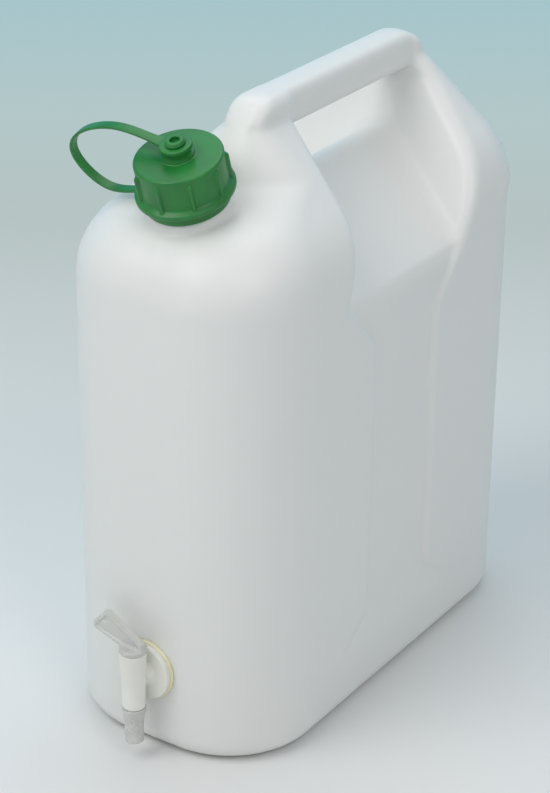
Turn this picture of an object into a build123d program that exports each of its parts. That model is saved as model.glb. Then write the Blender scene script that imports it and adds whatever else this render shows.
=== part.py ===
from build123d import *
from math import atan2, cos, degrees, pi, radians, sin, tan
import os

# A blow-moulded water can with a screw cap on a tether and a plug tap near the floor.
# Millimetres. X runs across the can, Y from its front (-Y, the tap) to its back, Z up from the floor.

# Tank. The corners take up all of the front and the back but a flat strip, which in front the tap sits on.
tank_width = 143.0
tank_depth = 291.5
tank_wall = 1.8
front_flat = 33.0
rear_flat = 43.0
base_round = 12.0
ridge_height = 353.6

# Roof: two slopes that rise from the sides to the grip, which stands up by the grip rise
roof_angle = 42.0
grip_rise = 13.8
eave_round = 50.0
front_corner_ease = 2.0
rear_corner_ease = 0.9

# Front platform for the neck, and the two sloping ends of the handle.
# Drops are measured down from the ridge, insets from the front or the back wall.
neck_tilt = 18.0
neck_inset = 41.25
platform_drop = 44.3
platform_round = 40.0
post_angle = 51.0
post_inset = 65.1
post_foot_round = 12.0
post_top_round = 16.0
rear_eave_drop = 85.6
rear_top_inset = 38.75
rear_low_round = 28.0
rear_top_round = 24.0

# Handle grip and the hand recess under it and beside it
grip_width = 24.8
grip_depth = 22.6
grip_round = 9.0
grip_top_round = 8.0
grip_neck_round = 6.0
hand_gap = 27.0
recess_fall = 39.0
recess_front_top_inset = 114.75
recess_front_low_inset = 86.75
recess_rear_top_inset = 48.75
recess_rear_low_inset = 88.75
recess_top_drop = 25.6
recess_low_drop = 103.6
recess_round = 9.0
crest_round = 14.0

# Shallow stiffening channel down each side
channel_width = 66.0
channel_depth = 2.6
channel_top_drop = 128.6
channel_low_height = 57.0
channel_foot_width = 132.0
channel_foot_height = 34.0
channel_draft = 45.0

# Neck
neck_radius = 20.0
neck_bore = 17.0
neck_height = 27.8
neck_root_radius = 22.0
neck_root_height = 4.4
neck_edge = 0.8

# Screw cap, measured along the neck
cap_gap = 0.5
cap_wall_radius = 23.6
cap_bore = 22.0
cap_top_thickness = 2.9
cap_edge = 1.6
rib_count = 9
rib_radius = 25.3
rib_width = 2.2
rib_turn = -3.5
rib_top_drop = 3.2
rib_slope = 1.6
skirt_radius = 26.5
skirt_height = 2.4
skirt_slope = 2.0
button_radius = 8.6
button_step_height = 1.5
button_step = 1.4
button_height = 4.6
stem_radius = 4.3
head_radius = 5.6
head_height = 2.2
dimple_radius = 2.6
dimple_depth = 2.4

# Seal disc inside the cap
seal_thickness = 1.8
seal_radius = 21.2
seal_gap = 0.1
seal_play = 0.3

# Tether: a ring round the neck, a flat strap and an eyelet round the cap's stem
ring_height = 5.6
ring_wall = 2.4
tether_clearance = 0.35
strap_width = 5.5
strap_thickness = 1.6
strap_crest_x = 38.0
strap_crest_rise = 3.0
strap_out = 70.3
strap_bend_height = 14.0
strap_low_x = 54.0
strap_low_drop = 4.0
eyelet_wall = 4.0
eyelet_thickness = 2.4

# Tap, measured from the tank's front wall and from the middle of its barrel
tap_height = 51.0
tap_offset = 13.5
tap_washer_radius = 17.6
tap_washer_thickness = 2.3
flange_radius = 16.6
flange_thickness = 3.0
flange_edge = 0.8
stem_thread_radius = 13.1
stem_bore = 9.4
stem_end = 3.5
thread_clearance = 0.3
barrel_top_radius = 7.6
barrel_low_radius = 6.3
barrel_height = 35.0
tap_arm_radius = 6.4
barrel_bore = 5.0
plug_clearance = 0.07
water_bore = 3.6
plug_cap_radius = 7.8
plug_cap_height = 2.4
plug_gap = 0.3
snap_radius = 6.9
snap_height = 2.0
nozzle_radius = 5.3
nozzle_taper = 7.0
nozzle_straight = 13.0
lever_thickness = 4.2
lever_web = 2.2
lever_rim = 2.4
lever_back = 7.2
lever_back_rise = 5.0
lever_tip_x = 17.0
lever_tip_rise = 19.5
lever_end_x = 28.2
lever_end_rise = 7.3
lever_round = 3.5
inner_washer_radius = 16.3
inner_washer_thickness = 2.0
nut_across_flats = 34.0
nut_thickness = 7.0

half_width = tank_width / 2
half_depth = tank_depth / 2
reach = tank_width + tank_depth + ridge_height
level_count = 24
thin = 0.05
front_corner = (tank_width - front_flat) / 2
rear_corner = (tank_width - rear_flat) / 2
neck_y = neck_inset - half_depth
platform_height = ridge_height - platform_drop
post_foot_y = post_inset - half_depth
rear_eave_height = ridge_height - rear_eave_drop
rear_top_y = half_depth - rear_top_inset
eave_height = ridge_height - grip_rise - tan(radians(roof_angle)) * (half_width - grip_width / 2)
recess_crest = ridge_height - grip_depth - hand_gap
recess_front_top_y = recess_front_top_inset - half_depth
recess_front_low_y = recess_front_low_inset - half_depth
recess_rear_top_y = half_depth - recess_rear_top_inset
recess_rear_low_y = half_depth - recess_rear_low_inset
recess_top_z = ridge_height - recess_top_drop
recess_low_z = ridge_height - recess_low_drop
channel_top_z = ridge_height - channel_top_drop


def outline(points, radii):
    """Closed flat outline through the points, each corner rounded by its own radius."""
    return make_face(FilletPolyline(*points, radius=radii, close=True))


def span(profile, height):
    """Where a level line at this height enters and leaves a profile."""
    box = (Line((-reach, height), (reach, height)) & profile).bounding_box()
    return box.min.X, box.max.X


def platform_z(y):
    """Height of the neck platform's plane above a place along the can."""
    return platform_height + tan(radians(neck_tilt)) * (y - neck_y)


def side_profile():
    """The can seen from its side: front wall, neck platform, handle top and sloping rear."""
    post_foot_z = platform_z(post_foot_y)
    post_top_y = post_foot_y + (ridge_height - post_foot_z) / tan(radians(post_angle))
    points = [
        (-half_depth, 0),
        (-half_depth, platform_z(-half_depth)),
        (post_foot_y, post_foot_z),
        (post_top_y, ridge_height),
        (rear_top_y, ridge_height),
        (half_depth, rear_eave_height),
        (half_depth, 0),
    ]
    rounds = [0, platform_round, post_foot_round, post_top_round, rear_top_round, rear_low_round, 0]
    return outline(points, rounds)


def front_profile():
    """The can seen from its front: upright sides, roof slopes and the grip on top."""
    grip = grip_width / 2
    shoulder = ridge_height - grip_rise
    right = [(half_width, 0), (half_width, eave_height), (grip, shoulder), (grip, ridge_height)]
    left = [(-x, z) for x, z in reversed(right)]
    rounds = [0, eave_round, grip_neck_round, grip_top_round]
    return outline(right + left, rounds + rounds[::-1])


def straight_height():
    """Height at which the first upright wall turns inwards."""
    rear_angle = 90 - degrees(atan2(ridge_height - rear_eave_height, half_depth - rear_top_y))
    sides = eave_height - eave_round * tan(radians((90 - roof_angle) / 2))
    front = platform_z(-half_depth) - platform_round * tan(radians((90 - neck_tilt) / 2))
    rear = rear_eave_height - rear_low_round * tan(radians(rear_angle / 2))
    return min(sides, front, rear)


def level_slice(half, front, rear, front_round, rear_round):
    """A level slice of the can: a rectangle with its front and its rear corners rounded."""
    corners = [(-half, front), (half, front), (half, rear), (-half, rear)]
    return outline(corners, [front_round, front_round, rear_round, rear_round])


def tank_form(skin):
    """The tank as a filled solid, drawn in by a skin on every side."""
    side_view = offset(side_profile(), -skin) if skin else side_profile()
    front_view = offset(front_profile(), -skin) if skin else front_profile()
    low, high = straight_height(), ridge_height - skin - thin
    slices = []
    for step in range(level_count + 1):
        z = low + (high - low) * (1 - cos(pi * step / level_count)) / 2
        front, rear = span(side_view, z)
        half = span(front_view, z)[1]
        share = min((z - low) / (high - grip_depth / 2 - low), 1)
        rounds = [
            min(corner + (grip_top_round - corner) * share**ease - skin, 0.96 * half)
            for corner, ease in ((front_corner, front_corner_ease), (rear_corner, rear_corner_ease))
        ]
        slices.append(Pos(0, 0, z) * level_slice(half, front, rear, *rounds))
    floor = level_slice(half_width - skin, skin - half_depth, half_depth - skin,
                        front_corner - skin, rear_corner - skin)
    trunk = extrude(Pos(0, 0, skin) * floor, low - skin)
    trunk = fillet(trunk.edges().group_by(Axis.Z)[0], base_round - skin)
    return trunk + loft(slices)


def hand_recess(skin):
    """What the hand recess takes away under the grip and beside it, grown by a skin."""
    front_slope = (recess_front_top_y - recess_front_low_y) / (recess_top_z - recess_low_z)
    over = ridge_height + grip_depth
    front_over = recess_front_top_y + front_slope * (over - recess_top_z)
    half = channel_width / 2
    side_view = outline(
        [
            (front_over, over),
            (recess_front_low_y, recess_low_z),
            (-half, channel_top_z),
            (half, channel_top_z),
            (recess_rear_low_y, recess_low_z),
            (recess_rear_top_y, recess_top_z),
            (recess_rear_top_y, over),
        ],
        [0, recess_round, 0, 0, recess_round, recess_round, 0],
    )
    fall = tan(radians(recess_fall)) * tank_width
    front_view = outline(
        [(0, recess_crest), (tank_width, recess_crest - fall), (tank_width, over),
         (-tank_width, over), (-tank_width, recess_crest - fall)],
        [crest_round, 0, 0, 0, 0],
    )
    grip = Pos(0, ridge_height - grip_depth + reach / 2) * RectangleRounded(
        grip_width, reach, grip_round
    )
    if skin:
        side_view = offset(side_view, skin)
        front_view = offset(front_view, skin)
        grip = offset(grip, -skin)
    hollow = extrude(Plane.YZ * side_view, tank_width, both=True)
    hollow &= extrude(Plane.XZ * front_view, tank_depth, both=True)
    return hollow - extrude(Plane.XZ * grip, tank_depth, both=True)


def side_channels(skin):
    """The shallow channels down both sides, which fan out at the top and at the foot."""
    half, foot = channel_width / 2, channel_foot_width / 2
    floor = half_width - channel_depth - skin
    fan = outline(
        [
            (recess_front_low_y, recess_low_z),
            (-half, channel_top_z),
            (-half, channel_low_height),
            (-foot, channel_foot_height),
            (foot, channel_foot_height),
            (half, channel_low_height),
            (half, channel_top_z),
            (recess_rear_low_y, recess_low_z),
        ],
        [0] * 8,
    )
    draft = channel_depth / tan(radians(channel_draft))
    fan = offset(fan, skin - draft, kind=Kind.INTERSECTION)
    cut = extrude(Plane.YZ.offset(floor) * fan, channel_depth + skin, taper=-channel_draft)
    ramp = outline(
        [
            (floor + channel_depth, channel_foot_height),
            (floor, channel_low_height),
            (floor, recess_low_z + channel_depth),
            (floor + tank_width, recess_low_z + channel_depth),
            (floor + tank_width, channel_foot_height),
        ],
        [0] * 5,
    )
    cut &= extrude(Plane.XZ * ramp, tank_depth, both=True)
    return cut + mirror(cut, Plane.YZ)


neck_frame = Plane(
    (0, neck_y, platform_height),
    x_dir=(1, 0, 0),
    z_dir=(0, -sin(radians(neck_tilt)), cos(radians(neck_tilt))),
)
tap_frame = Plane((0, -half_depth, tap_height), x_dir=(1, 0, 0), z_dir=(0, -1, 0))
barrel_frame = Plane((0, -half_depth - tap_offset, tap_height))
barrel_end = barrel_height / 2
ring_low = neck_root_height + tether_clearance
ring_high = ring_low + ring_height
cap_low = ring_high + cap_gap
seal_low = neck_height + seal_gap
cap_ceiling = seal_low + seal_thickness + seal_play
cap_high = cap_ceiling + cap_top_thickness
button_top = cap_high + button_height
eyelet_low = button_top + tether_clearance
head_low = eyelet_low + eyelet_thickness + tether_clearance
wall_hole_radius = stem_thread_radius + thread_clearance


def disc(radius, low, high):
    """A round solid on the Z axis between two heights."""
    return Pos(0, 0, low) * extrude(Circle(radius), high - low)


def turned(points):
    """A solid turned about the Z axis from a closed profile of radius and height."""
    return revolve(Plane.XZ * make_face(Polyline(*points, close=True)), Axis.Z)


def canister():
    """The blown tank with its handle, neck and the hole that the tap is fitted in."""
    shell = tank_form(0) - hand_recess(0) - side_channels(0)
    inside = tank_form(tank_wall) - hand_recess(tank_wall) - side_channels(tank_wall)
    sunk = neck_root_radius * tan(radians(roof_angle))
    root = turned([
        (0, -sunk),
        (neck_root_radius, -sunk),
        (neck_root_radius, neck_root_height - neck_edge),
        (neck_root_radius - neck_edge, neck_root_height),
        (0, neck_root_height),
    ])
    tube = turned([
        (neck_bore, 0),
        (neck_radius, 0),
        (neck_radius, neck_height - neck_edge),
        (neck_radius - neck_edge, neck_height),
        (neck_bore, neck_height),
    ])
    shell += neck_frame * root
    shell -= inside
    shell -= neck_frame * disc(neck_bore, -2 * sunk, neck_height)
    shell += neck_frame * tube
    return shell - tap_frame * disc(wall_hole_radius, -2 * tank_wall, tank_wall)


def screw_cap():
    """The ribbed cap with its flared skirt and, on top, the stepped button that holds the tether."""
    skirt_top = cap_low + skirt_height
    step_top = cap_high + button_step_height
    head_top = head_low + head_height
    shell = turned([
        (cap_bore, cap_low),
        (skirt_radius, cap_low),
        (skirt_radius, skirt_top),
        (cap_wall_radius, skirt_top + skirt_slope),
        (cap_wall_radius, cap_high - cap_edge),
        (cap_wall_radius - cap_edge, cap_high),
        (button_radius, cap_high),
        (button_radius, step_top),
        (button_radius - button_step, step_top),
        (button_radius - button_step, button_top),
        (stem_radius, button_top),
        (stem_radius, head_low),
        (head_radius, head_low),
        (dimple_radius, head_top),
        (dimple_radius, head_top - dimple_depth),
        (0, head_top - dimple_depth),
        (0, cap_ceiling),
        (cap_bore, cap_ceiling),
    ])
    root = (cap_bore + cap_wall_radius) / 2
    rib_top = cap_high - rib_top_drop
    rib = make_face(Polyline(
        (root, skirt_top),
        (skirt_radius - rib_slope / 2, skirt_top),
        (rib_radius, skirt_top + skirt_slope),
        (rib_radius, rib_top - rib_slope),
        (root, rib_top),
        close=True,
    ))
    rib = extrude(Plane.XZ * rib, rib_width / 2, both=True)
    for turn in range(rib_count):
        shell += Rot(0, 0, rib_turn + 360 * turn / rib_count) * rib
    return neck_frame * shell


def cap_seal():
    """The soft disc that the cap presses on the neck's rim."""
    return neck_frame * disc(seal_radius, seal_low, seal_low + seal_thickness)


def tether():
    """Ring, strap and eyelet, moulded in one, with the strap bent out to the can's left."""
    ring_bore = neck_radius + tether_clearance
    ring = disc(ring_bore + ring_wall, ring_low, ring_high) - disc(ring_bore, ring_low, ring_high)
    eyelet_bore = stem_radius + tether_clearance
    eyelet_high = eyelet_low + eyelet_thickness
    eyelet = disc(eyelet_bore + eyelet_wall, eyelet_low, eyelet_high)
    eyelet -= disc(eyelet_bore, eyelet_low, eyelet_high)
    start = (-eyelet_bore - eyelet_wall / 2, (eyelet_low + eyelet_high) / 2)
    end = (-ring_bore - ring_wall / 2, ring_low + strap_thickness / 2)
    path = Spline(
        start,
        (-strap_crest_x, start[1] + strap_crest_rise),
        (-strap_out, end[1] + strap_bend_height),
        (-strap_low_x, end[1] - strap_low_drop),
        end,
        tangents=[(-1, strap_crest_rise / strap_crest_x), (1, strap_low_drop / strap_crest_x)],
    )
    strap = extrude(Plane.XZ * trace(path, strap_thickness), strap_width / 2, both=True)
    return neck_frame * (ring + eyelet + strap)


def ring_on_wall(outer, inner, low, high):
    """A flat ring on the tap's axis, outside the front wall when its heights are positive."""
    return tap_frame * (disc(outer, low, high) - disc(inner, low, high))


def tap_washer():
    """The thick outer washer, squeezed between the flange and the tank's front wall."""
    return ring_on_wall(tap_washer_radius, wall_hole_radius, 0, tap_washer_thickness)


def tap_inner_washer():
    """The washer between the front wall and the nut inside the tank."""
    back = -tank_wall - inner_washer_thickness
    return ring_on_wall(inner_washer_radius, wall_hole_radius, back, -tank_wall)


def tap_nut():
    """The hexagonal nut that clamps the tap from inside the tank."""
    front = -tank_wall - inner_washer_thickness
    blank = extrude(RegularPolygon(nut_across_flats / 2, 6, major_radius=False), nut_thickness)
    blank -= disc(wall_hole_radius, 0, nut_thickness)
    return tap_frame * Pos(0, 0, front - nut_thickness) * blank


def tap_body():
    """Threaded stem, flange, arm and upright barrel, moulded in one."""
    stem_back = -tank_wall - inner_washer_thickness - nut_thickness - stem_end
    flange_top = tap_washer_thickness + flange_thickness
    spindle = turned([
        (0, stem_back),
        (stem_thread_radius, stem_back),
        (stem_thread_radius, tap_washer_thickness),
        (flange_radius, tap_washer_thickness),
        (flange_radius, flange_top - flange_edge),
        (flange_radius - flange_edge, flange_top),
        (tap_arm_radius, flange_top),
        (tap_arm_radius, tap_offset),
        (0, tap_offset),
    ])
    barrel = turned([
        (0, -barrel_end),
        (barrel_low_radius, -barrel_end),
        (barrel_top_radius, barrel_end),
        (0, barrel_end),
    ])
    body = tap_frame * spindle + barrel_frame * barrel
    body -= barrel_frame * disc(barrel_bore, -barrel_end, barrel_end)
    body -= tap_frame * disc(stem_bore, stem_back, tap_washer_thickness)
    return body - tap_frame * disc(water_bore, tap_washer_thickness, tap_offset)


def lever_outline():
    """The lever seen from the front, rising to the can's left from the plug's cap."""
    foot = barrel_end + plug_gap + plug_cap_height / 2
    return outline(
        [
            (lever_back, foot),
            (lever_back, foot + lever_back_rise),
            (-lever_tip_x, foot + lever_tip_rise),
            (-lever_end_x, foot + lever_end_rise),
            (-lever_back, foot),
        ],
        [0, lever_round / 2, lever_round, lever_round, 0],
    )


def tap_plug():
    """The turning plug with its lever above the barrel and its nozzle below."""
    radius = barrel_bore - plug_clearance
    top = barrel_end + plug_gap
    snap_low = -top - snap_height
    straight_top = snap_low - nozzle_taper
    nozzle_end = straight_top - nozzle_straight
    plug = turned([
        (0, nozzle_end),
        (nozzle_radius, nozzle_end),
        (nozzle_radius, straight_top),
        (snap_radius, snap_low),
        (snap_radius, -top),
        (radius, -top),
        (radius, top),
        (plug_cap_radius, top),
        (plug_cap_radius, top + plug_cap_height),
        (0, top + plug_cap_height),
    ])
    lever = lever_outline()
    plug += extrude(Plane.XZ * lever, lever_thickness / 2, both=True)
    pocket = offset(lever, -lever_rim)
    pocket = extrude(Plane.XZ * pocket, lever_thickness, both=True)
    pocket -= Box(reach, lever_web, reach)
    plug -= pocket
    plug -= disc(water_bore, nozzle_end, water_bore)
    port = extrude(Plane.YZ * Circle(water_bore), barrel_bore)
    return barrel_frame * (plug - port)


pieces = {
    "canister": canister,
    "screw_cap": screw_cap,
    "cap_seal": cap_seal,
    "tether": tether,
    "tap_washer": tap_washer,
    "tap_body": tap_body,
    "tap_plug": tap_plug,
    "tap_inner_washer": tap_inner_washer,
    "tap_nut": tap_nut,
}
os.makedirs("parts", exist_ok=True)
for name, build in pieces.items():
    export_step(build(), f"parts/{name}.step")
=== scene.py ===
import bpy
import numpy as np
from mathutils import Matrix


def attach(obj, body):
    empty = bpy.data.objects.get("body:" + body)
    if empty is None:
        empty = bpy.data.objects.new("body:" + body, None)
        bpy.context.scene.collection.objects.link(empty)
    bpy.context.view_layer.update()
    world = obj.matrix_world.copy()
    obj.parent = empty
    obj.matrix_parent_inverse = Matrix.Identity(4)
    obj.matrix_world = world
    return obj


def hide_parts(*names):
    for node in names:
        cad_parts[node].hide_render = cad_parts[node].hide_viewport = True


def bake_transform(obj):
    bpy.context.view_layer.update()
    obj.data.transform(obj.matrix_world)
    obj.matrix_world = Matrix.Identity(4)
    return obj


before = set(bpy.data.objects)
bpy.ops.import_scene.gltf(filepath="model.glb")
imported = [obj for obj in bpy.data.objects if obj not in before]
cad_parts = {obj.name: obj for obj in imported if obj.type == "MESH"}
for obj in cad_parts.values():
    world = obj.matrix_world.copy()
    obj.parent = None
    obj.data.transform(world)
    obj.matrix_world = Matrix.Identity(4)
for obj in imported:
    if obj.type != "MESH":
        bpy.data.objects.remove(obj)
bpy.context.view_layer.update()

# The camera stands in front of the can's left half and looks down on it, as in the photograph.
# Its place was solved from the can's upright edges, its base and its cap.
look_turn, look_down, look_roll = np.radians([33.54, 26.29, 0.72])
toward = np.array([np.sin(look_turn) * np.cos(look_down), -np.cos(look_turn) * np.cos(look_down),
                   np.sin(look_down)])
level_right = np.array([np.cos(look_turn), np.sin(look_turn), 0.0])
level_up = np.cross(toward, level_right)
right = np.cos(look_roll) * level_right + np.sin(look_roll) * level_up
up = -np.sin(look_roll) * level_right + np.cos(look_roll) * level_up
stand = 1.10 * (np.array([0, 0, 0.170]) + toward * 1.22707 - level_right * 0.01159 - level_up * 0.02357)
camera = bpy.data.objects.new("camera", bpy.data.cameras.new("camera"))
camera.data.lens = 2366.42 * 36 / 793
camera.data.sensor_width = 36
camera.data.clip_end = 20
bpy.context.scene.collection.objects.link(camera)
placing = np.eye(4)
placing[:3, 0], placing[:3, 1], placing[:3, 2], placing[:3, 3] = right, up, toward, stand
camera.matrix_world = Matrix(placing.tolist())
bpy.context.scene.camera = camera


# The studio sweep: a pale table that curves up into a light blue wall, lit softly from the front left.
# It faces the camera, and its colour runs from off-white at the can's foot to blue at the back.
def mesh_piece(name, points, faces, smooth=True):
    """A mesh object at the origin, from an array of points and an array of faces."""
    mesh = bpy.data.meshes.new(name)
    mesh.from_pydata(points.reshape(-1, 3).tolist(), [], faces.tolist())
    mesh.polygons.foreach_set("use_smooth", np.full(len(mesh.polygons), smooth))
    mesh.update()
    piece = bpy.data.objects.new(name, mesh)
    bpy.context.scene.collection.objects.link(piece)
    return piece


def grid_faces(rows, columns, round_rows=False, round_columns=False):
    """Four-sided faces of a grid of points, closed in either direction where asked."""
    i = np.arange(rows if round_rows else rows - 1)
    j = np.arange(columns if round_columns else columns - 1)
    i, j = np.meshgrid(i, j, indexing="ij")
    down, along = (i + 1) % rows, (j + 1) % columns
    return np.stack([i * columns + j, down * columns + j, down * columns + along,
                     i * columns + along], -1).reshape(-1, 4)


def nodes_of(name, settings={}):
    """A new material, its node tree and its main shader with the given settings."""
    material = bpy.data.materials.new(name)
    material.use_nodes = True
    shader = material.node_tree.nodes["Principled BSDF"]
    for key, value in settings.items():
        shader.inputs[key].default_value = value
    return material, material.node_tree, shader


away = -np.array([np.sin(look_turn), -np.cos(look_turn)])
bend_start, bend_radius, wall_top = 0.75, 0.9, 2.2
arc = np.linspace(0, np.pi / 2, 24)
run = np.concatenate([[-2.6], np.linspace(-1.5, bend_start, 8), bend_start + bend_radius * np.sin(arc[1:]),
                      [bend_start + bend_radius] * 2])
rise = np.concatenate([np.zeros(9), bend_radius * (1 - np.cos(arc[1:])), [bend_radius + 0.6, wall_top]])
across = np.linspace(-3, 3, 5)
sweep = np.stack(np.broadcast_arrays(
    across[:, None] * level_right[0] + run * away[0],
    across[:, None] * level_right[1] + run * away[1],
    rise - 0.0003), -1)
studio = mesh_piece("studio_sweep", sweep, grid_faces(5, len(run)))
paint, tree, shader = nodes_of("studio_paint")
tree.nodes.remove(shader)
place = tree.nodes.new("ShaderNodeTexCoord")
turn = tree.nodes.new("ShaderNodeMapping")
turn.vector_type = "POINT"
turn.inputs["Rotation"].default_value = (0, 0, -look_turn)
apart = tree.nodes.new("ShaderNodeSeparateXYZ")
climb = tree.nodes.new("ShaderNodeMath")
climb.operation = "ADD"
fade = tree.nodes.new("ShaderNodeMapRange")
fade.inputs["From Min"].default_value = -0.6
fade.inputs["From Max"].default_value = 2.4
ramp = tree.nodes.new("ShaderNodeValToRGB")
stops = [(0.0, (0.80, 0.80, 0.79)), (0.20, (0.80, 0.80, 0.785)), (0.30, (0.72, 0.735, 0.715)),
         (0.42, (0.52, 0.585, 0.565)), (0.60, (0.37, 0.56, 0.60)), (0.78, (0.245, 0.54, 0.68)),
         (1.0, (0.18, 0.50, 0.72))]
while len(ramp.color_ramp.elements) < len(stops):
    ramp.color_ramp.elements.new(0.5)
for element, (at, colour) in zip(ramp.color_ramp.elements, stops):
    element.position = at
    element.color = (*colour, 1)
diffuse = tree.nodes.new("ShaderNodeBsdfDiffuse")
glow = tree.nodes.new("ShaderNodeEmission")
far = tree.nodes.new("ShaderNodeMapRange")
far.inputs["From Min"].default_value = 0.25
far.inputs["From Max"].default_value = 0.9
blend = tree.nodes.new("ShaderNodeMixShader")
tree.links.new(place.outputs["Object"], turn.inputs["Vector"])
tree.links.new(turn.outputs["Vector"], apart.inputs["Vector"])
tree.links.new(apart.outputs["Y"], climb.inputs[0])
tree.links.new(apart.outputs["Z"], climb.inputs[1])
tree.links.new(climb.outputs["Value"], fade.inputs["Value"])
tree.links.new(climb.outputs["Value"], far.inputs["Value"])
tree.links.new(fade.outputs["Result"], ramp.inputs["Fac"])
tree.links.new(ramp.outputs["Color"], diffuse.inputs["Color"])
tree.links.new(ramp.outputs["Color"], glow.inputs["Color"])
tree.links.new(far.outputs["Result"], blend.inputs["Fac"])
tree.links.new(diffuse.outputs["BSDF"], blend.inputs[1])
tree.links.new(glow.outputs["Emission"], blend.inputs[2])
tree.links.new(blend.outputs["Shader"], tree.nodes["Material Output"].inputs["Surface"])
studio.data.materials.append(paint)

room = bpy.data.worlds.new("room")
room.use_nodes = True
room.node_tree.nodes["Background"].inputs["Color"].default_value = (0.92, 0.96, 1.0, 1)
room.node_tree.nodes["Background"].inputs["Strength"].default_value = 0.50
bpy.context.scene.world = room
bpy.context.scene.view_settings.view_transform = "Standard"
# lamp name, place from the can's middle in camera axes (right, up, toward), size, watts
for name, reach, size, watts in (
    ("window_left", (-0.9, 0.9, 1.1), (0.9, 1.2), 10.0),
    ("window_front", (0.5, 0.5, 1.5), (0.6, 0.9), 3.5),
    ("ceiling", (0.1, 1.7, 0.1), (1.2, 1.2), 6.0),
):
    lamp = bpy.data.lights.new(name, "AREA")
    lamp.shape, lamp.size, lamp.size_y, lamp.energy = "RECTANGLE", size[0], size[1], watts
    holder = bpy.data.objects.new(name, lamp)
    spot = reach[0] * right + reach[1] * up + reach[2] * toward + np.array([0, 0, 0.17])
    aim = spot - np.array([0, 0, 0.17])
    aim = aim / np.linalg.norm(aim)
    side = np.cross([0, 0, 1.0], aim)
    side = side / np.linalg.norm(side)
    pose = np.eye(4)
    pose[:3, 0], pose[:3, 1], pose[:3, 2], pose[:3, 3] = side, np.cross(aim, side), aim, spot
    holder.matrix_world = Matrix(pose.tolist())
    bpy.context.scene.collection.objects.link(holder)


# The tank, blown in one piece from natural polyethylene: soft edges, a satin skin that lets a little
# light in, a hand recess under the grip and a shallow fan-shaped channel down each side.
def soft_outline(points, radii, bend_points=9):
    """A closed outline with each corner replaced by an arc of its radius, tangent to both its runs."""
    points = np.array(points, float)
    corners = []
    for before, corner, after, radius in zip(np.roll(points, 1, 0), points, np.roll(points, -1, 0), radii):
        p, q = before - corner, after - corner
        p, q = p / np.hypot(*p), q / np.hypot(*q)
        half = np.arccos(np.clip(p @ q, -1, 1)) / 2
        if radius == 0:
            corners.append(corner[None])
            continue
        centre = corner + (p + q) / np.hypot(*(p + q)) * radius / np.sin(half)
        first, last = corner + p * radius / np.tan(half), corner + q * radius / np.tan(half)
        start, end = np.arctan2(*(first - centre)[::-1]), np.arctan2(*(last - centre)[::-1])
        sweep_angle = (end - start + np.pi) % (2 * np.pi) - np.pi
        angles = start + sweep_angle * np.linspace(0, 1, bend_points)
        corners.append(centre + radius * np.stack([np.cos(angles), np.sin(angles)], -1))
    return np.concatenate(corners)


def to_outline(outline, u, v):
    """Distance from each (u, v) to a closed outline, less than nothing inside it: the nearest of its runs."""
    nearest = np.full(u.shape, 1e9)
    inside = np.zeros(u.shape, bool)
    for (a, b), (c, d) in zip(outline, np.roll(outline, -1, 0)):
        along_u, along_v = c - a, d - b
        length = along_u ** 2 + along_v ** 2
        if length < 1e-9:
            continue
        part = np.clip(((u - a) * along_u + (v - b) * along_v) / length, 0, 1)
        nearest = np.minimum(nearest, (u - a - part * along_u) ** 2 + (v - b - part * along_v) ** 2)
        if abs(along_v) > 1e-9:
            crosses = ((b > v) != (d > v)) & (u < a + (v - b) * along_u / along_v)
            inside ^= crosses
    return np.where(inside, -1, 1) * np.sqrt(nearest)


def soft_most(first, second, round_by):
    """The larger of two distances, with the crease between them rounded over a given reach."""
    share = np.clip(0.5 + 0.5 * (first - second) / round_by, 0, 1)
    return second + (first - second) * share + round_by * share * (1 - share)


def soft_least(first, second, round_by):
    """The smaller of two distances, with the crease between them filled over a given reach."""
    return -soft_most(-first, -second, round_by)


def on_neck(across, back, along):
    """A place in the can from one on the neck: across it, backwards from its axis, and up along it."""
    return neck_place + np.stack([across, 0 * across, 0 * across], -1) + \
        back[..., None] * neck_across + along[..., None] * neck_along


tank_half_width, tank_half_depth, tank_ridge = 71.5, 145.75, 353.55
neck_tilt, neck_place = np.radians(18.0), np.array([0, -104.5, 309.3])
neck_along = np.array([0, -np.sin(neck_tilt), np.cos(neck_tilt)])
neck_across = np.array([0, np.cos(neck_tilt), np.sin(neck_tilt)])
front_shoulder = neck_place[2] + np.tan(neck_tilt) * (-tank_half_depth - neck_place[1])
post_foot = neck_place[2] + np.tan(neck_tilt) * (-80.65 - neck_place[1])
post_top = -80.65 + (tank_ridge - post_foot) / np.tan(np.radians(51))
side_view = soft_outline(
    [(-tank_half_depth, 0), (-tank_half_depth, front_shoulder), (-80.65, post_foot), (post_top, tank_ridge),
     (107, tank_ridge), (tank_half_depth, 268), (tank_half_depth, 0)],
    [0, 40, 12, 16, 24, 28, 0], 17)
grip_half = 12.4
shoulder = tank_ridge - 13.8
eave = shoulder - np.tan(np.radians(42)) * (tank_half_width - grip_half)
front_view = soft_outline(
    [(0, 0), (tank_half_width, 0), (tank_half_width, eave), (grip_half, shoulder), (grip_half, tank_ridge),
     (0, tank_ridge)],
    [0, 0, 50, 6, 8, 0], 17)


def edges_at(heights, outline, side):
    """Where level lines leave an outline: side -1 gives the low edge and 1 the high edge."""
    ends = []
    for (a, b), (c, d) in zip(outline, np.roll(outline, -1, 0)):
        if abs(d - b) < 1e-9:
            continue
        part = (heights - b) / (d - b)
        ends.append(np.where((part >= 0) & (part <= 1), a + part * (c - a), -side * 1e9))
    ends = np.array(ends)
    return ends.max(0) if side > 0 else ends.min(0)


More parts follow.
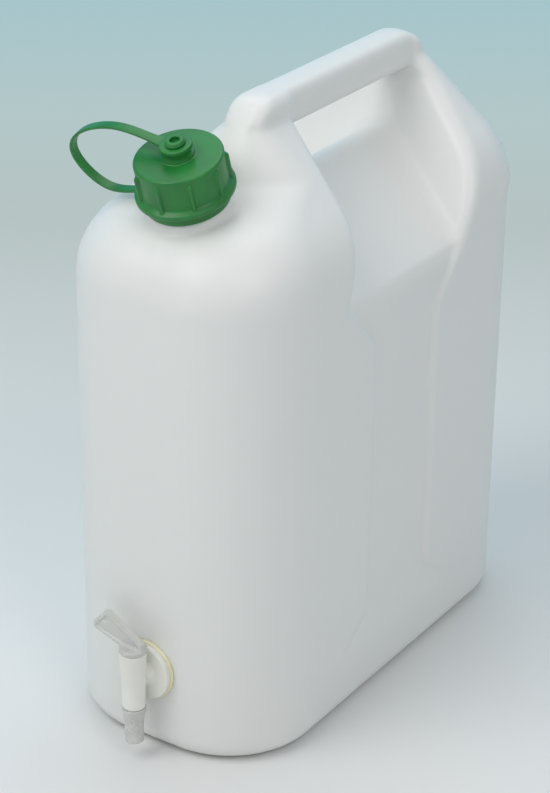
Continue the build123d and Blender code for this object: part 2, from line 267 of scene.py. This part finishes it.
levels = np.linspace(0.02, tank_ridge - 0.02, 1800)
half_widths = edges_at(levels, front_view, 1)
fronts, backs = edges_at(levels, side_view, -1), edges_at(levels, side_view, 1)
corner_share = np.clip((levels - 262) / (342.25 - 262), 0, 1)
front_corners = 55 + (8 - 55) * corner_share ** 2.0
rear_corners = 50 + (8 - 50) * corner_share ** 0.9
foot = 12 - np.sqrt(np.clip(12 ** 2 - np.clip(12 - levels, 0, 12) ** 2, 0, None))
half_widths, fronts, backs = half_widths - foot, fronts + foot, backs - foot
front_corners = np.minimum(front_corners - foot, 0.96 * half_widths)
rear_corners = np.minimum(rear_corners - foot, 0.96 * half_widths)


def tank_wall(x, y, z):
    """Distance to a rounded rectangle at each height, whose sides follow the side and front outlines."""
    half = np.interp(z, levels, half_widths)
    low, high = np.interp(z, levels, fronts), np.interp(z, levels, backs)
    middle = (low + high) / 2
    corner = np.where(y < middle, np.interp(z, levels, front_corners), np.interp(z, levels, rear_corners))
    p = np.abs(x) - half + corner
    q = np.abs(y - middle) - (high - low) / 2 + corner
    return np.hypot(np.maximum(p, 0), np.maximum(q, 0)) + np.minimum(np.maximum(p, q), 0) - corner


recess_side = soft_outline(
    [(-31 + 28 / 78 * 72, 400), (-59, 250), (-33, 225), (33, 225), (57, 250), (97, 328), (97, 400)],
    [0, 9, 0, 0, 9, 9, 0])
fall = np.tan(np.radians(39)) * 143
crest = soft_outline([(0, 304), (143, 304 - fall), (143, 400), (-143, 400), (-143, 304 - fall)],
                     [14, 0, 0, 0, 0])
grip = soft_outline([(-12.4, 331), (12.4, 331), (12.4, 430), (-12.4, 430)], [9, 9, 0, 0])
fan = soft_outline([(-59, 250), (-31.5, 223), (-31.5, 57), (-64, 34), (64, 34), (31.5, 57), (31.5, 223),
                    (57, 250)], [0, 12, 12, 3, 3, 12, 12, 0])


def tank_shape(x, y, z):
    """The tank as a field: its wall with the parting line and the neck's root, less recess, channels and bore."""
    step = 0.4
    wall = tank_wall(x, y, z)
    slope = np.hypot(np.hypot(tank_wall(x + step, y, z) - tank_wall(x - step, y, z),
                              tank_wall(x, y + step, z) - tank_wall(x, y - step, z)),
                     tank_wall(x, y, z + step) - tank_wall(x, y, z - step)) / (2 * step)
    wall = wall / np.maximum(slope, 0.6)
    ramp_foot = np.clip((z - 34) / 23, 0, 1)
    into = np.clip(0.5 - to_outline(fan, y, z) / 4.4, 0, 1)
    into = into * into * (3 - 2 * into) * np.clip((np.abs(x) - 50) / 10, 0, 1)
    wall = wall + 2.6 * into * ramp_foot
    wall = soft_most(wall, -z, 1.0)
    wall = soft_most(wall, z - tank_ridge, 1.5)
    hollow = soft_most(to_outline(recess_side, y, z), to_outline(crest, x, z), 7.0)
    hollow = soft_most(hollow, -to_outline(grip, x, z), 3.0)
    seam = 0.25 * np.exp(-(x / 0.6) ** 2)
    wall = soft_most(wall, -hollow, 7.0) - seam
    from_neck = np.stack([x, y, z], -1) - neck_place
    along, radius = from_neck @ neck_along, np.hypot(x, from_neck @ neck_across)
    root = soft_most(soft_most(radius - 22.0, along - 4.4, 0.8), -12 - along, 1.0)
    wall = soft_least(wall, root, 2.5)
    return soft_most(wall, soft_least(17.0 - radius, along + 30, 0.5), 0.5)


def surface_of(shape, low, high, step):
    """Points and faces of a field's zero surface. Each grid cell that it passes gets one point, at the mean
    of its crossings of the cell's edges, and each crossed edge gets the face between its four cells. The
    points are then moved along the field's slope on to the surface."""
    axes = [np.arange(a, b + step, step) for a, b in zip(low, high)]
    x, y, z = np.meshgrid(*axes, indexing="ij")
    field = shape(x, y, z)
    inside = field < 0
    total = np.zeros(tuple(n - 1 for n in field.shape) + (3,))
    count = np.zeros(tuple(n - 1 for n in field.shape))
    crossings = []
    for axis in range(3):
        first = [slice(None)] * 3
        second = [slice(None)] * 3
        first[axis], second[axis] = slice(None, -1), slice(1, None)
        a, b = field[tuple(first)], field[tuple(second)]
        cut = inside[tuple(first)] != inside[tuple(second)]
        at = np.argwhere(cut)
        share = a[cut] / (a[cut] - b[cut])
        spot = at.astype(float)
        spot[:, axis] += share
        others = [k for k in range(3) if k != axis]
        cells = []
        for du, dv in ((0, 0), (1, 0), (1, 1), (0, 1)):
            cell = at.copy()
            cell[:, others[0]] -= du
            cell[:, others[1]] -= dv
            cells.append(cell)
        cells = np.stack(cells, 1)
        fits = np.all((cells >= 0) & (cells < np.array(count.shape)), axis=(1, 2))
        cells, spot, flip = cells[fits], spot[fits], inside[tuple(first)][cut][fits]
        for k in range(4):
            np.add.at(total, tuple(cells[:, k].T), spot)
            np.add.at(count, tuple(cells[:, k].T), 1)
        crossings.append((cells, flip ^ (axis == 1)))
    used = count > 0
    number = np.full(count.shape, -1)
    number[used] = np.arange(used.sum())
    points = total[used] / count[used][:, None] * step + np.array([a[0] for a in axes])
    faces = []
    for cells, flip in crossings:
        quads = number[tuple(np.moveaxis(cells, -1, 0))]
        faces.append(np.where(flip[:, None], quads, quads[:, ::-1]))
    small = 0.2
    for _ in range(4):
        x, y, z = points.T
        value = shape(x, y, z)
        slope = np.stack([shape(x + small, y, z) - value, shape(x, y + small, z) - value,
                          shape(x, y, z + small) - value], -1) / small
        size = np.maximum((slope ** 2).sum(-1), 0.25)
        move = np.clip(value / size, -step, step)
        points = points - 0.8 * move[:, None] * slope
    return points, np.concatenate(faces)


def pattern(tree, scale, detail=2):
    """The strength of a noise pattern over the object's own coordinates."""
    place = tree.nodes.new("ShaderNodeTexCoord")
    noise = tree.nodes.new("ShaderNodeTexNoise")
    noise.inputs["Scale"].default_value, noise.inputs["Detail"].default_value = scale, detail
    tree.links.new(place.outputs["Object"], noise.inputs["Vector"])
    return noise.outputs["Fac"]


def press_in(tree, shader, source, strength, distance, under=None):
    """A shallow relief from a pattern on the shader's surface, on top of another relief if one is given."""
    bump = tree.nodes.new("ShaderNodeBump")
    bump.inputs["Strength"].default_value, bump.inputs["Distance"].default_value = strength, distance
    tree.links.new(source, bump.inputs["Height"])
    if under:
        tree.links.new(under.outputs["Normal"], bump.inputs["Normal"])
    tree.links.new(bump.outputs["Normal"], shader.inputs["Normal"])
    return bump


points, faces = surface_of(tank_shape, (-74, -149, -3), (74, 149, 358), 2.2)
tank = mesh_piece("tank", points / 1000, faces)
material, tree, shader = nodes_of("natural_polyethylene", {
    "Base Color": (0.80, 0.80, 0.775, 1), "Roughness": 0.38, "IOR": 1.51, "Subsurface Weight": 0.25,
    "Subsurface Radius": (0.012, 0.012, 0.011), "Subsurface Scale": 0.5})
waves = press_in(tree, shader, pattern(tree, 14), 0.12, 0.002)
press_in(tree, shader, pattern(tree, 900, 3), 0.06, 0.0004, under=waves)
tank.data.materials.append(material)
polyethylene = material
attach(tank, "can")
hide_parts("canister")


# The neck, blown with the tank and trimmed on top: a plain tube with one and a half turns of thread.
# It shows only under the lifted cap.
def divide(outline, longest):
    """An outline with each run longer than a given length divided evenly."""
    runs = []
    for here, there in zip(outline, np.roll(outline, -1, 0)):
        parts = max(int(np.ceil(np.hypot(*(there - here)) / longest)), 1)
        runs.append(here + (there - here) * (np.arange(parts) / parts)[:, None])
    return np.concatenate(runs)


def turned(name, outline, angles, place, swell=None):
    """A closed profile of radius and height carried round an axis, swelled outwards by a function of both."""
    angle, radius = np.meshgrid(angles, outline[:, 0], indexing="ij")
    height = np.broadcast_to(outline[:, 1], radius.shape)
    if swell:
        radius = radius + swell(angle, radius, height)
    points = place(radius * np.cos(angle), radius * np.sin(angle), height)
    return mesh_piece(name, points / 1000, grid_faces(*radius.shape, round_rows=True, round_columns=True))


def full_turn(count):
    """Evenly spaced angles of one full turn."""
    return np.arange(count) * 2 * np.pi / count


def screw_thread(angle, radius, height):
    """A rounded ridge that climbs 6 mm a turn on the outside of the neck and fades out at both ends."""
    climb = (height - 12.5) / 6 - angle / (2 * np.pi)
    ridge = np.exp(-((climb - np.round(climb)) * 6 / 1.15) ** 4)
    ends = np.clip((height - 13) / 1.5, 0, 1) * np.clip((24.5 - height) / 1.5, 0, 1)
    return np.where(radius > 19.5, 1.5 * ridge * ends, 0)


tube = soft_outline([(17.0, -4), (20.0, -4), (20.0, 27.8), (17.0, 27.8)], [0, 0, 0.8, 0.5], 5)
neck = turned("neck", divide(tube, 0.6)[::-1], full_turn(120), on_neck, screw_thread)
neck.data.materials.append(polyethylene)
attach(neck, "can")


# The screw cap, injection moulded in green polyethylene: nine grip ribs on a flared skirt, a flat top
# and a stepped button in its middle that the tether's eyelet snaps on.
rib_angles = np.radians(-3.5 + 40 * np.arange(9))
beside_rib = np.radians([-20, -16.5, -13, -9.5, -6.5, -4.6, -3.7, -3.1, -2.6, -2.0, -1.2, 0,
                         1.2, 2.0, 2.6, 3.1, 3.7, 4.6, 6.5, 9.5, 13, 16.5])
cap_angles = np.sort(np.mod((rib_angles[:, None] + beside_rib).ravel(), 2 * np.pi))


def grip_ribs(angle, radius, height):
    """Nine rounded bars up the cap's wall, 1.7 mm proud, which die into the skirt and end below the top."""
    turn = (angle - rib_angles[0] + np.radians(20)) % np.radians(40) - np.radians(20)
    bar = 1 / (1 + np.exp((np.abs(turn) * 24 - 1.05) / 0.14))
    ends = np.clip((height - 12.2) / 1.0, 0, 1) * np.clip((29.7 - height) / 1.3, 0, 1)
    outside = (radius > 22.9) & (height > 12)
    return np.where(outside, np.clip(25.3 - radius, 0, 3) * bar * np.sqrt(ends), 0)


cap_profile = soft_outline(
    [(0.01, 30.0), (22.0, 30.0), (22.0, 10.85), (26.5, 10.85), (26.5, 13.25), (23.6, 15.25), (23.6, 32.9),
     (8.6, 32.9), (8.6, 34.4), (7.2, 34.4), (7.2, 37.5), (4.3, 37.5), (4.3, 40.6), (5.6, 40.6), (4.6, 42.8),
     (2.6, 42.8), (2.6, 40.4), (0.01, 40.4)],
    [0, 0.5, 0.4, 0.7, 0.6, 1.6, 1.3, 0.8, 0.35, 0.4, 0.4, 0.3, 0.2, 0.4, 0.6, 0.4, 0.3, 0], 6)
cap = turned("screw_cap_moulding", divide(cap_profile, 0.9), cap_angles, on_neck, grip_ribs)
def tint(tree, shader, source, low, high, reach=(0.3, 0.7)):
    """The shader's colour, which goes from one colour to the other over a reach of the pattern."""
    shades = tree.nodes.new("ShaderNodeValToRGB")
    for stop, at, colour in zip(shades.color_ramp.elements, reach, (low, high)):
        stop.position, stop.color = at, (*colour, 1)
    tree.links.new(source, shades.inputs["Fac"])
    tree.links.new(shades.outputs["Color"], shader.inputs["Base Color"])


def polish(tree, shader, source, low, high):
    """The shader's roughness, which goes from one value to the other with the pattern."""
    spread = tree.nodes.new("ShaderNodeMapRange")
    spread.inputs["To Min"].default_value, spread.inputs["To Max"].default_value = low, high
    tree.links.new(source, spread.inputs["Value"])
    tree.links.new(spread.outputs["Result"], shader.inputs["Roughness"])


material, tree, shader = nodes_of("green_polyethylene", {
    "Base Color": (0.013, 0.19, 0.030, 1), "Roughness": 0.33, "IOR": 1.51, "Subsurface Weight": 0.08,
    "Subsurface Radius": (0.002, 0.006, 0.002)})
cloud = pattern(tree, 60, 3)
tint(tree, shader, cloud, (0.010, 0.165, 0.026), (0.017, 0.215, 0.036), (0.35, 0.68))
polish(tree, shader, cloud, 0.27, 0.42)
press_in(tree, shader, pattern(tree, 1400), 0.07, 0.0003)
cap.data.materials.append(material)
green_polyethylene = material
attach(cap, "cap")
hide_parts("screw_cap")


# The seal: a die-cut disc of white foam, lying loose between the cap and the neck's rim.
# Its solid's shape is right, so it only gets its finish.
material, tree, shader = nodes_of("white_foam", {"Roughness": 0.75})
place = tree.nodes.new("ShaderNodeTexCoord")
cells = tree.nodes.new("ShaderNodeTexVoronoi")
cells.inputs["Scale"].default_value = 2200
tree.links.new(place.outputs["Object"], cells.inputs["Vector"])
tint(tree, shader, cells.outputs["Distance"], (0.70, 0.70, 0.66), (0.84, 0.84, 0.81), (0, 1))
press_in(tree, shader, cells.outputs["Distance"], 0.2, 0.0002)
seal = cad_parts["cap_seal"]
seal.data.materials.clear()
seal.data.materials.append(material)


# The tether, moulded in one with its ring and eyelet in the cap's green: the ring lies round the neck,
# the eyelet turns on the cap's button, and the flat strap between them bends out to the can's left.
def smooth_run(points, first_way, last_way, count):
    """A cubic spline through the points in even steps of chord length, with its end directions given."""
    points = np.array(points, float)
    t = np.concatenate([[0], np.cumsum(np.hypot(*np.diff(points, axis=0).T))])
    gap, rise = np.diff(t), np.diff(points, axis=0)
    size = len(t)
    system, known = np.zeros((size, size)), np.zeros((size, 2))
    system[0, 0] = system[-1, -1] = 1
    known[0], known[-1] = first_way / np.hypot(*first_way), last_way / np.hypot(*last_way)
    inner = np.arange(1, size - 1)
    system[inner, inner - 1], system[inner, inner + 1] = gap[1:], gap[:-1]
    system[inner, inner] = 2 * (gap[:-1] + gap[1:])
    known[1:-1] = 3 * (gap[1:, None] * rise[:-1] / gap[:-1, None] + gap[:-1, None] * rise[1:] / gap[1:, None])
    way = np.linalg.solve(system, known)
    at = np.linspace(0, t[-1], count)
    k = np.clip(np.searchsorted(t, at, "right") - 1, 0, size - 2)
    u = ((at - t[k]) / gap[k])[:, None]
    h = gap[k][:, None]
    return ((1 + 2 * u) * (1 - u) ** 2 * points[k] + u * (1 - u) ** 2 * h * way[k]
            + u * u * (3 - 2 * u) * points[k + 1] + u * u * (u - 1) * h * way[k + 1])


ring = turned("tether_ring", divide(soft_outline(
    [(20.35, 4.75), (22.75, 4.75), (22.75, 10.35), (20.35, 10.35)], [0.4, 0.7, 0.7, 0.4], 6), 1.0),
    full_turn(96), on_neck)
eyelet = turned("tether_eyelet", divide(soft_outline(
    [(4.65, 37.85), (8.65, 37.85), (8.65, 40.25), (4.65, 40.25)], [0.3, 0.6, 0.6, 0.3], 6), 1.0),
    full_turn(64), on_neck)
line = smooth_run([(-6.65, 39.05), (-38, 42.05), (-70.3, 18.75), (-54, 0.75), (-21.55, 5.55)],
                  np.array([-1, 3.0 / 38]), np.array([1, 4.0 / 38]), 140)
way = np.gradient(line, axis=0)
way = way / np.hypot(*way.T)[:, None]
normal = np.stack([-way[:, 1], way[:, 0]], -1)
band = soft_outline([(-2.75, -0.8), (2.75, -0.8), (2.75, 0.8), (-2.75, 0.8)], [0.5] * 4, 5)
run_length = np.concatenate([[0], np.cumsum(np.hypot(*np.diff(line, axis=0).T))])
to_end = np.minimum(run_length, run_length[-1] - run_length)
wider = 1 + 0.35 * np.exp(-(to_end / 5) ** 2)
spread = band[None, :, 0] * wider[:, None]
flat = line[:, None, :] + normal[:, None, :] * band[None, :, 1, None]
strap_points = on_neck(flat[..., 0], spread, flat[..., 1])
strap_faces = grid_faces(len(line), len(band), round_columns=True)[:, ::-1]
strap = mesh_piece("tether_strap", strap_points / 1000, strap_faces)
for piece in (ring, eyelet, strap):
    piece.data.materials.append(green_polyethylene)
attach(ring, "can")
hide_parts("tether")
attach(eyelet, "seal")
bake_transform(strap)


# The tap's outer washer, a thick ring of yellowed soft plastic squeezed against the front wall.
# The washer inside the wall keeps its solid and gets the same finish.
front_wall, tap_height, barrel_front = -tank_half_depth, 51.0, -tank_half_depth - 13.5


def on_tap(across, rise, out):
    """A place in the can from one on the tap's axis: across, up, and outwards from the front wall."""
    return np.stack([-across, front_wall - out, tap_height + rise], -1)


def on_barrel(across, back, rise):
    """A place in the can from one on the upright barrel's axis, measured from its middle."""
    return np.stack([across, barrel_front + back, tap_height + rise], -1)


washer = turned("outer_washer", divide(soft_outline(
    [(13.4, 0), (17.6, 0), (17.6, 2.3), (13.4, 2.3)], [0, 0.6, 0.7, 0], 6), 1.0), full_turn(96), on_tap)
material, tree, shader = nodes_of("yellow_washer", {
    "Roughness": 0.5, "Subsurface Weight": 0.15, "Subsurface Radius": (0.003, 0.0025, 0.001)})
tint(tree, shader, pattern(tree, 90, 4), (0.80, 0.74, 0.47), (0.86, 0.83, 0.62))
washer.data.materials.append(material)
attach(washer, "can")
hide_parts("tap_washer")
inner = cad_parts["tap_inner_washer"]
inner.data.materials.clear()
inner.data.materials.append(material)


# The tap's body, injection moulded in cream plastic: a flange on a threaded stem, a short arm
# and a slightly tapered barrel that the plug turns in. The nut inside the tank gets the same finish.
flange = turned("tap_flange", divide(soft_outline(
    [(9.4, -14.3), (13.1, -14.3), (13.1, 2.3), (16.6, 2.3), (16.6, 5.3), (8.6, 5.3), (6.4, 6.6), (6.4, 9.6),
     (4.0, 9.6), (4.0, 2.3), (9.4, 2.3)],
    [0.4, 0.6, 0.2, 0.3, 1.0, 0.8, 1.6, 0, 0, 0, 0], 6), 1.0), full_turn(96), on_tap)
barrel = turned("tap_barrel", divide(soft_outline(
    [(5.0, -17.5), (6.3, -17.5), (7.6, 17.5), (5.0, 17.5)], [0.2, 0.5, 0.6, 0.2], 6), 1.5),
    full_turn(72), on_barrel)
material, tree, shader = nodes_of("cream_plastic", {
    "Roughness": 0.28, "IOR": 1.5, "Subsurface Weight": 0.12, "Subsurface Radius": (0.004, 0.0035, 0.0025)})
tint(tree, shader, pattern(tree, 40, 3), (0.80, 0.79, 0.72), (0.86, 0.855, 0.79))
press_in(tree, shader, pattern(tree, 1500), 0.05, 0.0002)
for piece in (flange, barrel):
    piece.data.materials.append(material)
    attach(piece, "can")
    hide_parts("tap_body")
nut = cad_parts["tap_nut"]
nut.data.materials.clear()
nut.data.materials.append(material)


# The plug, moulded in one in clear-white plastic: the webbed lever on its cap above the barrel, and
# under it the collar, the taper and the spout that the water leaves by.
cap_foot, foot = 17.8, 19.0
lever_edge = soft_outline([(7.2, foot), (7.2, 24.0), (-17.0, 38.5), (-28.2, 26.3), (-7.2, foot)],
                          [0, 1.75, 3.5, 3.5, 0])
lever_inner = soft_outline([(4.8, 21.4), (4.8, 22.6), (-16.6, 35.4), (-24.5, 26.7), (-6.6, 21.4)],
                           [0.5, 0.5, 1.8, 1.8, 0.5])


def lever_shape(x, y, z):
    """The lever as a field: a plate with a raised rim, joined with a soft corner to the plug's round cap."""
    plate = soft_most(to_outline(lever_edge, x, z), np.abs(y) - 2.1, 0.9)
    pocket = soft_most(to_outline(lever_inner, x, z), 1.1 - np.abs(y), 0.5)
    plate = soft_most(plate, -pocket, 0.7)
    disc = soft_most(np.hypot(x, y) - 7.8, np.abs(z - cap_foot - 1.2) - 1.2, 0.7)
    return soft_least(plate, disc, 1.2)


points, faces = surface_of(lever_shape, (-30, -9, 16), (10, 9, 40), 0.5)
lever = mesh_piece("lever", on_barrel(*points.T) / 1000, faces)
spout = turned("spout", divide(soft_outline(
    [(3.6, -39.8), (5.3, -39.8), (5.3, -26.8), (6.9, -19.8), (6.9, -17.8), (4.93, -17.8), (4.93, 17.8),
     (3.6, 17.8)], [0.3, 0.5, 1.5, 0.5, 0.4, 0.2, 0, 0], 5), 1.0), full_turn(64), on_barrel)
material, tree, shader = nodes_of("clear_white_plastic", {
    "Base Color": (0.82, 0.82, 0.78, 1), "Roughness": 0.24, "IOR": 1.49, "Transmission Weight": 0.35,
    "Subsurface Weight": 0.1, "Subsurface Radius": (0.004, 0.004, 0.0035)})
flow = pattern(tree, 70, 3)
tint(tree, shader, flow, (0.77, 0.77, 0.725), (0.84, 0.84, 0.80))
polish(tree, shader, flow, 0.18, 0.34)
for piece in (lever, spout):
    piece.data.materials.append(material)
    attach(piece, "plug")
    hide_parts("tap_plug")
